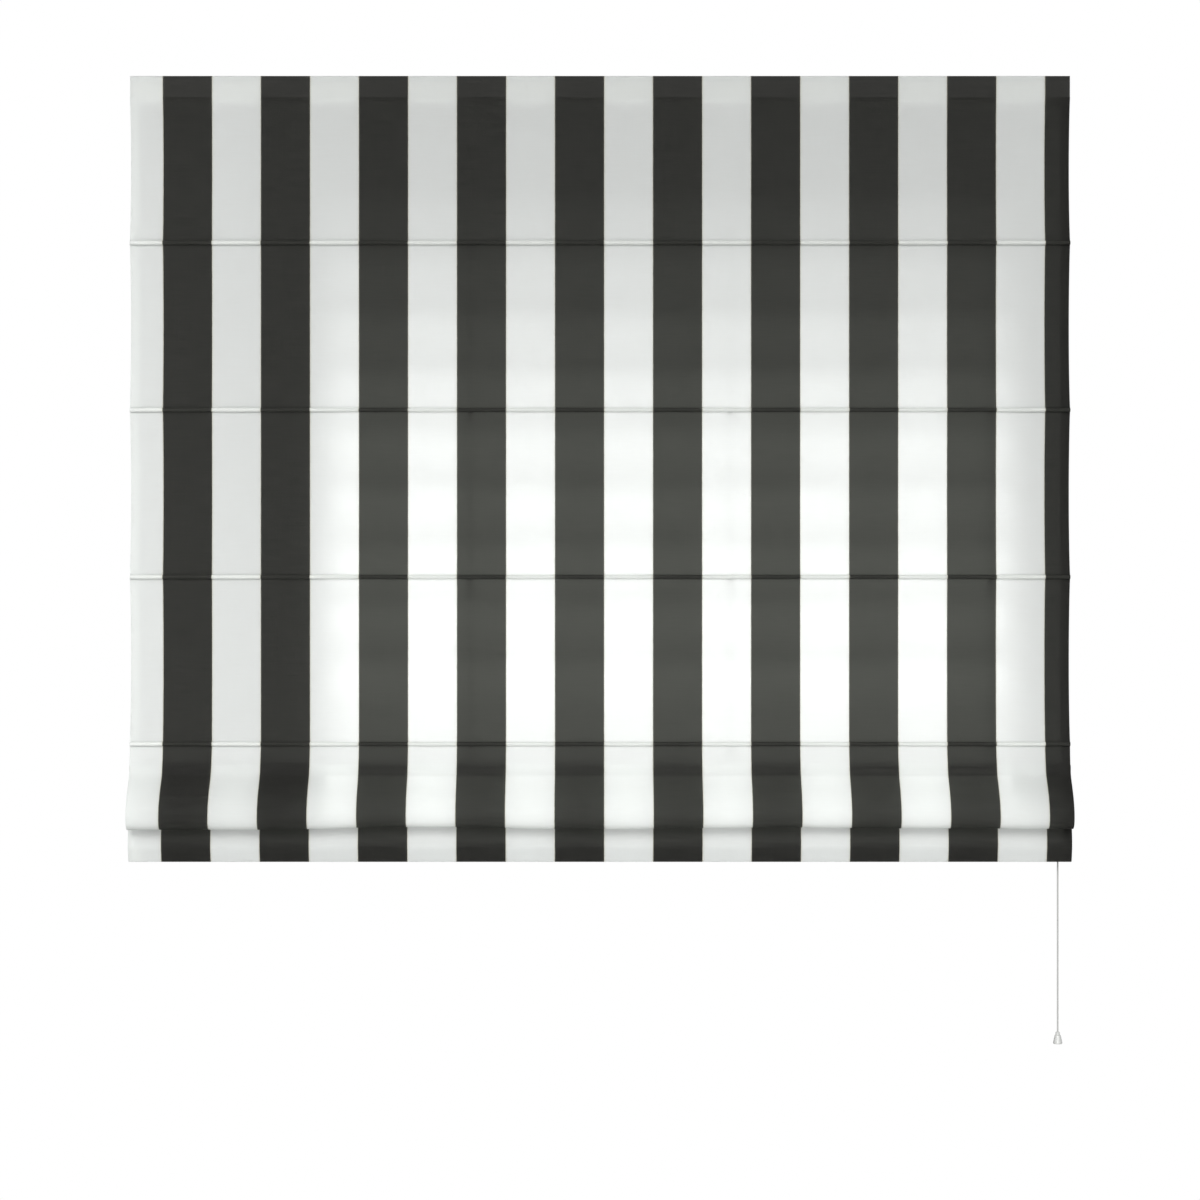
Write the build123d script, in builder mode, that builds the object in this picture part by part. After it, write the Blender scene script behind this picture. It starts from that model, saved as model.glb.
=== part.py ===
"""Roman blind, 1300 mm wide, hung on three wall brackets, with its last fold gathered.

Frame: +X along the rail to the right, -Y out into the room, +Z up. The wall is the plane Y = 0,
and the origin is the middle of the centre bracket's two screw holes.
"""

import os
from math import cos, radians, sin

from build123d import *

# ---------------------------------------------------------------- cloth and folds
blind_width = 1300.0
cloth = 1.5
cloth_top = 21.5
rod_pitch = 231.0
rod_count = 5
last_fold_gap = 34.0          # rod 5 under rod 4, as the last fold is gathered
hem_drop = 163.0              # lower edge of the hem under rod 4
soft_gap = 0.3                # between a soft solid and what lies beside it

# ---------------------------------------------------------------- headrail
rail_depth = 24.0
rail_height = 30.0
rail_wall = 1.5
rail_back = -3.0              # Y of the rail's back face
rail_inset = 5.0              # rail end inside the cloth's side edge
web_top = 5.5
upper_slot = 14.0
lower_slot = 16.0
cap_plate = 3.0
cap_plug = 8.0
fit_gap = 0.05
tape_height = 20.0
tape_top = 12.5
hook_thick = 1.5
loop_thick = 1.2

# ---------------------------------------------------------------- wall brackets
bracket_inset = 90.0          # end brackets inside the cloth's side edges
bracket_width = 34.0
bracket_drop = 12.0
bracket_steel = 2.0
arm_width = 24.0
arm_gap = 3.0                 # between the rail's top and the arm
screw_spacing = 21.0
screw_hole_r = 2.25
rivet_r = 2.5
rivet_head_r = 4.0
rivet_head = 1.2
pin_gap = 0.05                # radial, shaft to moving bore
seat_gap = 0.02               # radial, shaft to fixed bore
cam_length = 20.0
cam_width = 12.5
cam_thick = 2.4
cam_hub_r = 5.0
lever_reach = 11.5
lever_width = 6.0
lever_thick = 2.0

# ---------------------------------------------------------------- lift cords, guides and lock
cord_count = 4
cord_inset = 110.0            # outer lift cords inside the cloth's side edges
cord_r = 0.7
cord_y = -18.5
lane_low = -2.8               # Z of the lowest cord inside the rail
lane_pitch = 1.8
groove_r = 4.0
pulley_rim_r = 5.3
pulley_width = 3.2
cheek_gap = 0.2
cheek_wall = 2.4
guide_axle_r = 1.25
guide_before = 14.0
guide_after = 12.0
guide_flange = 2.0
cord_hole_r = 1.6
drum_groove_r = 6.0
drum_rim_r = 8.0
drum_width = 4.6
drum_axle_r = 1.5
lock_left = 11.0              # housing wall left of the drum's axis
lock_right = 18.0
lock_drop = 34.0
lock_cheek = 1.4
roller_r = 3.5
roller_stub_r = 1.4
roller_travel = 5.0
roller_tilt = 11.3            # slot's lean from vertical, degrees
roller_below_drum = 13.0
roller_to_cord = 0.1

# ---------------------------------------------------------------- rods, rings and bottom bar
rod_r = 1.75
rod_inset = 7.0               # rod end inside the cloth's side edge
rod_cap_wall = 0.4
rod_cap_length = 9.0
rod_cap_end = 2.0
sleeve_wall = 0.8
ring_eye_r = 3.0
ring_r = 5.0
ring_thick = 3.0
ring_tab_width = 5.0
stop_r = 4.2
stop_length = 7.0
bar_width = 20.0
bar_thick = 3.0
bar_inset = 8.0               # bar end inside the cloth's side edge
bar_cap_end = 3.0
bar_cap_grip = 8.0
bar_cap_wall = 0.5
hem_tilt = 14.0               # the bottom bar's lower edge leans back, degrees
hem_forward = 12.5            # bar's middle in front of the cloth's front face

# ---------------------------------------------------------------- pull cord
pull_inset = 15.0             # pull cord inside the cloth's right edge
pull_r = 1.1
connector_top = -270.0
connector_length = 24.0
connector_top_r = 5.2
connector_low_r = 2.6
knob_low = -1319.0
knob_length = 16.3
knob_top_r = 2.9
knob_low_r = 6.4

# ---------------------------------------------------------------- places worked out from them
half_width = blind_width / 2
bracket_xs = {"left": bracket_inset - half_width, "centre": 0.0, "right": half_width - bracket_inset}
cord_pitch = 2 * (half_width - cord_inset) / (cord_count - 1)
cord_xs = [cord_inset - half_width + cord_pitch * i for i in range(cord_count)]
pull_x = half_width - pull_inset
rod_length = blind_width - 2 * rod_inset
rod_cap_r = rod_r + rod_cap_wall
bar_length = blind_width - 2 * bar_inset
rail_mid = rail_back - rail_depth / 2
rail_front = rail_back - rail_depth
rail_top = rail_height / 2
rail_low = -rail_height / 2
rail_length = blind_width - 2 * rail_inset
cloth_back = rail_front - hook_thick - loop_thick
cloth_front = cloth_back - cloth
rod_zs = [cloth_top - rod_pitch * (i + 1) for i in range(rod_count - 1)]
rod_zs.append(rod_zs[-1] - last_fold_gap)
sleeve_in_r = rod_cap_r + soft_gap
sleeve_r = sleeve_in_r + sleeve_wall
rod_y = cloth_back - sleeve_r
hem_low = rod_zs[3] - hem_drop
lane_zs = [lane_low + lane_pitch * (len(cord_xs) - 1 - i) for i in range(len(cord_xs))]
turn_r = groove_r + cord_r + pin_gap
drum_turn_r = drum_groove_r + cord_r + pin_gap
tail_rs = [drum_turn_r + z - lane_low for z in lane_zs]
drum_x = pull_x - (tail_rs[0] + tail_rs[-1]) / 2
drum_z = lane_low - drum_turn_r
arm_low = rail_top + arm_gap
arm_top = arm_low + bracket_steel
lip_in = rail_top - rail_wall
channel_low = rail_low + rail_wall


def export(builder, name):
    """Label a finished piece and write its STEP file."""
    builder.part.label = name
    export_step(builder.part, f"parts/{name}.step")


def turned(outline, centre_x, centre_y, centre_z):
    """Revolve a half outline (radius, height along Y) about the axis parallel to Y."""
    with BuildPart() as spun:
        axis_plane = Plane((centre_x, centre_y, centre_z))
        with BuildSketch(axis_plane):
            with BuildLine():
                Polyline(*outline, close=True)
            make_face()
        revolve(axis=Axis((centre_x, centre_y, centre_z), (0, 1, 0)))
    return spun


os.makedirs("parts", exist_ok=True)

# ================================================================ headrail
with BuildPart() as headrail:
    with BuildSketch(Plane.YZ):
        with Locations((rail_mid, 0)):
            Rectangle(rail_depth, rail_height)
        inner = rail_depth - 2 * rail_wall
        upper_height = lip_in - web_top
        lower_height = web_top - rail_wall - channel_low
        with Locations((rail_mid, web_top + upper_height / 2)):
            Rectangle(inner, upper_height, mode=Mode.SUBTRACT)
        with Locations((rail_mid, channel_low + lower_height / 2)):
            Rectangle(inner, lower_height, mode=Mode.SUBTRACT)
        with Locations((rail_mid, rail_top - rail_wall / 2)):
            Rectangle(upper_slot, rail_wall, mode=Mode.SUBTRACT)
        with Locations((rail_mid, rail_low + rail_wall / 2)):
            Rectangle(lower_slot, rail_wall, mode=Mode.SUBTRACT)
    extrude(amount=rail_length / 2, both=True)
export(headrail, "headrail")

for side, name in ((-1, "end_cap_left"), (1, "end_cap_right")):
    with BuildPart() as end_cap:
        rail_end = side * rail_length / 2
        with BuildSketch(Plane.YZ.offset(rail_end)):
            with Locations((rail_mid, 0)):
                RectangleRounded(rail_depth, rail_height, 2)
        extrude(amount=side * cap_plate)
        fillet(end_cap.faces().sort_by(Axis.X)[-1 if side > 0 else 0].edges(), 0.8)
        with BuildSketch(Plane.YZ.offset(rail_end)):
            with Locations((rail_mid, (web_top + lip_in) / 2)):
                Rectangle(inner - 2 * fit_gap, upper_height - 2 * fit_gap)
                Rectangle(inner - 4, upper_height - 4, mode=Mode.SUBTRACT)
        extrude(amount=-side * cap_plug)
    export(end_cap, name)

with BuildPart() as hook_tape:
    with BuildSketch(Plane.YZ):
        with Locations((rail_front - hook_thick / 2, tape_top - tape_height / 2)):
            Rectangle(hook_thick, tape_height)
    extrude(amount=rail_length / 2, both=True)
export(hook_tape, "hook_tape")

with BuildPart() as loop_tape:
    with BuildSketch(Plane.YZ):
        with Locations((rail_front - hook_thick - loop_thick / 2, tape_top - tape_height / 2)):
            Rectangle(loop_thick, tape_height)
    extrude(amount=rail_length / 2, both=True)
export(loop_tape, "loop_tape")

# ================================================================ brackets with their swivel cams
cam_top = lip_in - soft_gap
cam_low = cam_top - cam_thick
lever_low = rail_top + 0.4
arm_reach = -rail_mid + arm_width / 2 - 2

for place, x in bracket_xs.items():
    with BuildPart() as bracket:
        with BuildSketch(Plane.YZ.offset(x)):
            with BuildLine():
                Polyline(
                    (0, -bracket_drop), (0, arm_top), (-arm_reach, arm_top), (-arm_reach, arm_low),
                    (-bracket_steel, arm_low), (-bracket_steel, -bracket_drop), close=True,
                )
            make_face()
        extrude(amount=bracket_width / 2, both=True)
        bend = bracket.edges().filter_by(Axis.X)
        fillet(bend.filter_by_position(Axis.Z, arm_top - 0.01, arm_top + 0.01).sort_by(Axis.Y)[-1], 3)
        fillet(
            bend.filter_by_position(Axis.Z, arm_low - 0.01, arm_low + 0.01).sort_by(Axis.Y)[-1], 1)
        with BuildSketch(Plane.XY.offset(arm_top)):
            with Locations((x, -(arm_reach + 6) / 2)):
                Rectangle(bracket_width + 1, arm_reach - 6)
            with Locations((x, -arm_reach / 2 - 2)):
                Rectangle(arm_width, arm_reach - 4 + 2, mode=Mode.SUBTRACT)
        extrude(amount=-(bracket_steel + 1), mode=Mode.SUBTRACT)
        nose = bracket.edges().filter_by(Axis.Z).filter_by_position(
            Axis.Y, -arm_reach - 0.01, -arm_reach + 0.01)
        fillet(nose, 8)
        with Locations((x, rail_mid, arm_top)):
            Hole(rivet_r + seat_gap, depth=bracket_steel)
        with Locations(Plane((x, 0, 0), x_dir=(1, 0, 0), z_dir=(0, 1, 0))):
            with GridLocations(screw_spacing, 1, 2, 1):
                Hole(screw_hole_r)
    export(bracket, f"bracket_{place}")

    with BuildPart() as cam:
        with BuildSketch(Plane.XY.offset(cam_low)):
            with Locations(Location((x, rail_mid), 90)):
                SlotOverall(cam_length, cam_width)
        extrude(amount=cam_thick)
        with BuildSketch(Plane.XY.offset(cam_top)):
            with Locations((x, rail_mid)):
                Circle(cam_hub_r)
        extrude(amount=arm_low - 0.1 - cam_top)
        with BuildSketch(Plane.XY.offset(lever_low)):
            with Locations((x + (lever_reach - lever_width / 2) / 2, rail_mid)):
                Rectangle(lever_reach - lever_width / 2, lever_width)
            with Locations((x + lever_reach - lever_width / 2, rail_mid)):
                Circle(lever_width / 2)
        extrude(amount=lever_thick)
        with Locations((x, rail_mid, arm_low)):
            Hole(rivet_r + pin_gap)
    export(cam, f"bracket_cam_{place}")

    with BuildPart() as rivet:
        foot = cam_low - 0.2 - rivet_head
        with Locations((x, rail_mid, foot)):
            Cylinder(rivet_head_r, rivet_head, align=(Align.CENTER, Align.CENTER, Align.MIN))
            Cylinder(rivet_r, arm_top - foot, align=(Align.CENTER, Align.CENTER, Align.MIN))
        with Locations((x, rail_mid, arm_top)):
            Cylinder(rivet_head_r, rivet_head, align=(Align.CENTER, Align.CENTER, Align.MIN))
        fillet(rivet.faces().sort_by(Axis.Z)[-1].edges(), 0.8)
    export(rivet, f"cam_rivet_{place}")

# ================================================================ cord guides in the rail
cheek_out = pulley_width / 2 + cheek_gap + cheek_wall
guide_top = web_top - rail_wall - 0.4


def rail_foot(left, right, wing_left, wing_right):
    """Flange under the rail, neck through its slot and wings above its lips."""
    flange_top = rail_low - fit_gap
    wing_low = channel_low + fit_gap
    middle = (left + right) / 2
    with BuildPart() as foot:
        with BuildSketch(Plane.XY.offset(flange_top)):
            with Locations((middle, rail_mid)):
                RectangleRounded(right - left, rail_depth - 5, 2)
        extrude(amount=-guide_flange)
        with BuildSketch(Plane.XY.offset(flange_top)):
            with Locations((middle, rail_mid)):
                Rectangle(right - left - 2, lower_slot - 2 * soft_gap)
        extrude(amount=wing_low - flange_top + 1)
        with BuildSketch(Plane.XY.offset(wing_low)):
            with Locations(((wing_left + wing_right) / 2, rail_mid)):
                Rectangle(wing_right - wing_left, rail_depth - 2 * rail_wall - 1)
        extrude(amount=1.2)
    return foot.part


for i, cord_x in enumerate(cord_xs):
    axle_x = cord_x + turn_r
    axle_z = lane_zs[i] - turn_r
    left = axle_x - guide_before
    right = axle_x + guide_after
    with BuildPart() as guide:
        add(rail_foot(left, right, axle_x - 9, axle_x + 7))
        cheek_low = channel_low
        for y in (cord_y - cheek_out + cheek_wall / 2, cord_y + cheek_out - cheek_wall / 2):
            with BuildSketch(Plane.XY.offset(cheek_low)):
                with Locations((axle_x, y)):
                    Rectangle(2 * (pulley_rim_r + 3), cheek_wall)
            extrude(amount=guide_top - cheek_low)
        with BuildSketch(Plane.XY.offset(channel_low + 5)):
            with Locations((axle_x, cord_y)):
                Rectangle(2 * pulley_rim_r + 2, pulley_width + 2 * cheek_gap)
        extrude(amount=-(pulley_rim_r + 1), mode=Mode.SUBTRACT)
        with Locations((cord_x, cord_y, guide_top)):
            Hole(cord_hole_r)
        with Locations(Plane((axle_x, cord_y - cheek_out, axle_z), x_dir=(1, 0, 0), z_dir=(0, -1, 0))):
            Hole(guide_axle_r + seat_gap, depth=2 * cheek_out)
    export(guide, f"guide_housing_{i + 1}")

    half = pulley_width / 2
    groove_half = cord_r + 0.2
    bore = guide_axle_r + pin_gap
    pulley = turned(
        [(bore, -half), (pulley_rim_r, -half), (pulley_rim_r, -groove_half - 0.2),
         (groove_r, -groove_half), (groove_r, groove_half), (pulley_rim_r, groove_half + 0.2),
         (pulley_rim_r, half), (bore, half)],
        axle_x, cord_y, axle_z)
    export(pulley, f"guide_pulley_{i + 1}")

    with BuildPart(Plane((axle_x, cord_y, axle_z), x_dir=(1, 0, 0), z_dir=(0, 1, 0))) as axle:
        Cylinder(guide_axle_r, 2 * cheek_out)
    export(axle, f"guide_axle_{i + 1}")

# ================================================================ cord lock
lock_inner = drum_width / 2 + 0.4
lock_outer = lock_inner + lock_cheek
cavity_right = pull_x + (tail_rs[0] - tail_rs[-1]) / 2 + cord_r + 0.8
roller_x = drum_x + tail_rs[-1] - cord_r - roller_to_cord - roller_r
roller_z = drum_z - roller_below_drum
slot_way = Vector(sin(radians(roller_tilt)), 0, cos(radians(roller_tilt)))
roller_low = Vector(roller_x, cord_y, roller_z) - slot_way * roller_travel
roller_mid = (roller_low + Vector(roller_x, cord_y, roller_z)) * 0.5

with BuildPart() as lock_housing:
    lock_x0 = drum_x - lock_left
    lock_x1 = drum_x + lock_right
    add(rail_foot(lock_x0, lock_x1, drum_x - 7, drum_x + 9))
    with BuildSketch(Plane.XY.offset(guide_top)):
        with Locations(((lock_x0 + lock_x1) / 2, cord_y)):
            Rectangle(lock_x1 - lock_x0, 2 * lock_outer)
    extrude(amount=-(guide_top + lock_drop))
    with BuildSketch(Plane.XY.offset(guide_top)):
        with Locations(((lock_x0 + 1.5 + cavity_right) / 2, cord_y)):
            Rectangle(cavity_right - lock_x0 - 1.5, 2 * lock_inner)
    extrude(amount=-(guide_top + lock_drop), mode=Mode.SUBTRACT)
    with BuildSketch(Plane.XY.offset(guide_top)):
        with Locations((lock_x0, cord_y)):
            Rectangle(4, 2 * lock_inner)
    extrude(amount=lane_low - 2 - guide_top, mode=Mode.SUBTRACT)
    with Locations(Plane((drum_x, cord_y, drum_z), x_dir=(1, 0, 0), z_dir=(0, -1, 0))):
        Hole(drum_axle_r + seat_gap)
    with BuildSketch(Plane(roller_mid, x_dir=tuple(slot_way), z_dir=(0, -1, 0))):
        SlotCenterToCenter(roller_travel + 0.6, 2 * (roller_stub_r + 0.1))
    extrude(amount=lock_outer + 1, both=True, mode=Mode.SUBTRACT)
export(lock_housing, "lock_housing")

half = drum_width / 2
groove_half = cord_r + 0.25
bore = drum_axle_r + pin_gap
lock_drum = turned(
    [(bore, -half), (drum_rim_r, -half), (drum_rim_r, -groove_half), (drum_groove_r, -groove_half),
     (drum_groove_r, groove_half), (drum_rim_r, groove_half), (drum_rim_r, half), (bore, half)],
    drum_x, cord_y, drum_z)
export(lock_drum, "lock_drum")

with BuildPart(Plane((drum_x, cord_y, drum_z), x_dir=(1, 0, 0), z_dir=(0, 1, 0))) as lock_axle:
    Cylinder(drum_axle_r, 2 * lock_outer)
export(lock_axle, "lock_axle")

with BuildPart(Plane((roller_x, cord_y, roller_z), x_dir=(1, 0, 0), z_dir=(0, 1, 0))) as lock_roller:
    Cylinder(roller_r, 2 * lock_inner - 0.6)
    chamfer(lock_roller.edges(), 0.3)
    Cylinder(roller_stub_r, 2 * lock_outer)
export(lock_roller, "lock_roller")

# ================================================================ lift cords
stop_top = rod_zs[4] - ring_thick / 2 - fit_gap

for i, cord_x in enumerate(cord_xs):
    tail_x = drum_x + tail_rs[i]
    with BuildPart() as lift_cord:
        with BuildLine():
            FilletPolyline(
                (cord_x, cord_y, stop_top - stop_length), (cord_x, cord_y, lane_zs[i]),
                (tail_x, cord_y, lane_zs[i]), (tail_x, cord_y, connector_top),
                radius=[turn_r, tail_rs[i]],
            )
        with BuildSketch(Plane.XY.offset(stop_top - stop_length)):
            with Locations((cord_x, cord_y)):
                Circle(cord_r)
        sweep()
    export(lift_cord, f"lift_cord_{i + 1}")

print("lift cord radii", turn_r, [round(r, 2) for r in tail_rs])

# ================================================================ cloth
# The flat cloth hangs behind the rods, with a sleeve round each rod on its face. Under rod 4 the
# cloth runs forward and down into the gathered fold, back up over rod 5, and down to the hem.


def face_at(forward, below):
    """Middle of the cloth, by how far its face stands forward and how far it is below rod 4."""
    return (cloth_front + cloth / 2 - forward, rod_zs[3] - below)


bar_mid = (cloth_front - hem_forward, hem_low + bar_width / 2 + 2.2)
pocket_gap = soft_gap + bar_cap_wall
fold_down = [(0, 0), (0, 8), (6, 20), (14, 42), (41, 71), (50.5, 99), (47, 118)]
fold_up = [(24, 113), (17, 66), (8.3, 46)]
over_rod = [(8.3, last_fold_gap - 5), (0, last_fold_gap - 5)]
hem_run = [(0, 52), (15, 112), (17, 140)]
fold_points = [face_at(*p) for p in fold_down + fold_up + over_rod + hem_run]
fold_radii = [8, 14, 40, 60, 30, 8, 8, 40, 40, 4.1, 4.1, 60, 60]

with BuildPart() as shade_fabric:
    with BuildSketch(Plane.YZ):
        with Locations((cloth_back - cloth / 2, (cloth_top + rod_zs[3]) / 2)):
            Rectangle(cloth, cloth_top - rod_zs[3])
        with BuildLine():
            FilletPolyline(*fold_points, radius=fold_radii)
        trace(line_width=cloth)
        with Locations(Location(bar_mid, hem_tilt)):
            Rectangle(bar_thick + 2 * (pocket_gap + cloth), bar_width + 2 * (pocket_gap + cloth))
            Rectangle(bar_thick + 2 * pocket_gap, bar_width + 2 * pocket_gap, mode=Mode.SUBTRACT)
        with Locations(*[(rod_y, z) for z in rod_zs]):
            Circle(sleeve_r)
        with Locations(*[(rod_y, z) for z in rod_zs]):
            Circle(sleeve_in_r, mode=Mode.SUBTRACT)
    extrude(amount=half_width, both=True)
export(shade_fabric, "shade_fabric")

# ================================================================ rods, end caps and rings
for i, rod_z in enumerate(rod_zs):
    with BuildPart() as rod:
        with BuildSketch(Plane.YZ):
            with Locations((rod_y, rod_z)):
                Circle(rod_r)
        extrude(amount=rod_length / 2, both=True)
    export(rod, f"rod_{i + 1}")

    with BuildPart() as rod_caps:
        for side in (-1, 1):
            tip = side * (rod_length / 2 + rod_cap_end)
            with BuildSketch(Plane.YZ.offset(tip)):
                with Locations((rod_y, rod_z)):
                    Circle(rod_cap_r)
            extrude(amount=-side * rod_cap_length)
            with BuildSketch(Plane.YZ.offset(side * rod_length / 2)):
                with Locations((rod_y, rod_z)):
                    Circle(rod_r + seat_gap)
            extrude(amount=-side * rod_cap_length, mode=Mode.SUBTRACT)
        tips = rod_caps.faces().sort_by(Axis.X)
        fillet(tips[0].edges() + tips[-1].edges(), 0.7)
    export(rod_caps, f"rod_caps_{i + 1}")

    with BuildPart() as rings:
        with BuildSketch(Plane.XY.offset(rod_z - ring_thick / 2)):
            tab_end = cloth_back + soft_gap
            for cord_x in cord_xs:
                with Locations((cord_x, cord_y)):
                    Circle(ring_r)
                with Locations((cord_x, (cord_y - ring_eye_r + tab_end) / 2)):
                    Rectangle(ring_tab_width, cord_y - ring_eye_r - tab_end)
            for cord_x in cord_xs:
                with Locations((cord_x, cord_y)):
                    Circle(ring_eye_r, mode=Mode.SUBTRACT)
        extrude(amount=ring_thick)
        fillet(rings.edges().filter_by(GeomType.CIRCLE), 0.7)
    export(rings, f"rings_{i + 1}")

with BuildPart() as cord_stops:
    for cord_x in cord_xs:
        with BuildSketch(Plane.XY.offset(stop_top)):
            with Locations((cord_x, cord_y)):
                Circle(stop_r)
                Circle(cord_r + seat_gap, mode=Mode.SUBTRACT)
        extrude(amount=-stop_length, taper=12)
export(cord_stops, "cord_stops")

# ================================================================ bottom bar
with BuildPart() as bottom_bar:
    with BuildSketch(Plane.YZ):
        with Locations(Location(bar_mid, hem_tilt)):
            RectangleRounded(bar_thick, bar_width, 1)
    extrude(amount=bar_length / 2, both=True)
export(bottom_bar, "bottom_bar")

with BuildPart() as bar_caps:
    for side in (-1, 1):
        tip = side * (bar_length / 2 + bar_cap_end)
        with BuildSketch(Plane.YZ.offset(tip)):
            with Locations(Location(bar_mid, hem_tilt)):
                RectangleRounded(bar_thick + 2 * bar_cap_wall, bar_width + 2 * bar_cap_wall, 1.2)
        extrude(amount=-side * (bar_cap_end + bar_cap_grip))
        with BuildSketch(Plane.YZ.offset(side * bar_length / 2)):
            with Locations(Location(bar_mid, hem_tilt)):
                RectangleRounded(bar_thick + 2 * seat_gap, bar_width + 2 * seat_gap, 1)
        extrude(amount=-side * bar_cap_grip, mode=Mode.SUBTRACT)
export(bar_caps, "bar_caps")

# ================================================================ pull cord
connector_low = connector_top - connector_length
knob_top = knob_low + knob_length

with BuildPart() as cord_connector:
    with BuildSketch(Plane((pull_x, cord_y, 0), x_dir=(1, 0, 0), z_dir=(0, -1, 0))):
        with BuildLine():
            Polyline(
                (0, connector_low), (connector_low_r, connector_low),
                (connector_low_r + 0.4, connector_low + 3), (connector_top_r, connector_top - 6),
                (connector_top_r, connector_top), (0, connector_top), close=True,
            )
        make_face()
    revolve(axis=Axis((pull_x, cord_y, 0), (0, 0, 1)))
export(cord_connector, "cord_connector")

with BuildPart() as pull_cord:
    with BuildSketch(Plane.XY.offset(knob_top)):
        with Locations((pull_x, cord_y)):
            Circle(pull_r)
    extrude(amount=connector_low - knob_top)
export(pull_cord, "pull_cord")

with BuildPart() as pull_knob:
    with BuildSketch(Plane((pull_x, cord_y, 0), x_dir=(1, 0, 0), z_dir=(0, -1, 0))):
        with BuildLine():
            Polyline(
                (0, knob_low), (knob_low_r - 0.6, knob_low), (knob_low_r, knob_low + 1),
                (knob_top_r + 1.2, knob_top - 4.5), (knob_top_r, knob_top - 3.5),
                (knob_top_r, knob_top - 0.6), (knob_top_r - 0.6, knob_top), (0, knob_top), close=True,
            )
        make_face()
    revolve(axis=Axis((pull_x, cord_y, 0), (0, 0, 1)))
export(pull_knob, "pull_knob")
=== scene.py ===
"""Roman blind: finishes, sewn cloth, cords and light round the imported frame."""

from math import cos, pi, radians, sin

import bpy
import numpy as np
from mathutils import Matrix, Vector


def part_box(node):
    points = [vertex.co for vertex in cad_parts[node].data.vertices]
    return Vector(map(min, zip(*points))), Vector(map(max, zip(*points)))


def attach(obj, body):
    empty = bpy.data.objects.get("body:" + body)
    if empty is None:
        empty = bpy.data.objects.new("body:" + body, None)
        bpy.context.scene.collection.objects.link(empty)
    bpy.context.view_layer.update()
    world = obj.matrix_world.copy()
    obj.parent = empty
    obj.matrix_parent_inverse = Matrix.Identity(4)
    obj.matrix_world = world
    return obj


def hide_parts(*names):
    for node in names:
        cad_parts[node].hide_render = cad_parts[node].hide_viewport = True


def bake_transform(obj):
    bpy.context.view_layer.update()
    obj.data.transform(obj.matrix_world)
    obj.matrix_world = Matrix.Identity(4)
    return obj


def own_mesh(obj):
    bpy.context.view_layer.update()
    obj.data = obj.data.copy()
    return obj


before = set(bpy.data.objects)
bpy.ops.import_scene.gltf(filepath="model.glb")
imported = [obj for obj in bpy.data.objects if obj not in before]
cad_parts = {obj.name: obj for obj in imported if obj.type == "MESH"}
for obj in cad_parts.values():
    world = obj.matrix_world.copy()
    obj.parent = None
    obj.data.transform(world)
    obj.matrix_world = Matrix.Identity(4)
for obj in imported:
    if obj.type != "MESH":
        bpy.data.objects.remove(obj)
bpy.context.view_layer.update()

MM = 0.001
RODS = range(1, 6)
FOLDS = range(1, 5)

# ---------------------------------------------------------------- sizes of the sewn cloth, metres
CLOTH = 0.7 * MM                  # thickness of the woven cotton
STRIPE = 67.8 * MM                # one colour's width
FIRST_BORDER = -604.6 * MM        # first white-to-black border, from the middle of the blind
SIDE_HEM = 12 * MM
HEM_LAYER = 0.95 * MM             # folded edge behind the face layer
NECK = 2.6 * MM                   # the flat panels stop this far above and below a rod
SLEEVE_R = 2.52 * MM              # middle of the cloth round a rod
EDGE_DRAW = 1.8 * MM              # the side edges draw in between the rods
BAND = 29 * MM                    # heading band over the rail
COLUMN = 6.5 * MM                 # spacing of the cloth's mesh across
ROW = 5.0 * MM                    # and down its flat panels
FINE_ROW = 2.6 * MM               # and down its curves
THREAD_DRAWN = 1.1 * MM           # 0.55 mm threads, drawn twice that size so that they show
BORDER_WANDER = 0.4 * MM
STITCH = 3.4 * MM                 # length of a stitch and its gap in the side hems
STITCH_INSET = 10 * MM            # the stitches' distance from the side edges
STITCH_WIDE = 0.8 * MM            # drawn twice a thread's width so that it shows
SHEER = 0.62                      # share of the light at the cloth that goes on through it

# ---------------------------------------------------------------- places read from the frame


def middle(node):
    """Middle of a CAD node's box."""
    low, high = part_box(node)
    return (np.array(low) + np.array(high)) / 2


cloth_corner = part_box("shade_fabric")[1]
HALF = cloth_corner[0]
TOP = cloth_corner[2] - 0.4 * MM
TAPE_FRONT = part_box("loop_tape")[0][1]
FACE_Y = TAPE_FRONT - 0.75 * MM   # middle of the flat cloth, just in front of the loop tape
ROD_Y = middle("rod_1")[1]
ROD_Z = [middle(f"rod_{k}")[2] for k in RODS]
BAR = middle("bottom_bar")
BAR_TILT = radians(14)
ROD_FORWARD = FACE_Y - ROD_Y


# ================================================================ materials
def linear(code):
    """Linear RGBA from an sRGB hex value."""
    parts = [int(code[i:i + 2], 16) / 255 for i in (1, 3, 5)]
    return [p / 12.92 if p <= 0.04045 else ((p + 0.055) / 1.055) ** 2.4 for p in parts] + [1.0]


def add(tree, kind, inputs=None, **settings):
    """Add a node, set its fields, and set or link its inputs."""
    made = tree.nodes.new(kind)
    for field, value in settings.items():
        setattr(made, field, value)
    for socket, value in (inputs or {}).items():
        if isinstance(value, bpy.types.NodeSocket):
            tree.links.new(value, made.inputs[socket])
        else:
            made.inputs[socket].default_value = value
    return made


def new_material(name):
    """An empty node material with its output."""
    made = bpy.data.materials.new(name)
    made.use_nodes = True
    made.node_tree.nodes.clear()
    return made, made.node_tree, add(made.node_tree, "ShaderNodeOutputMaterial")


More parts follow.
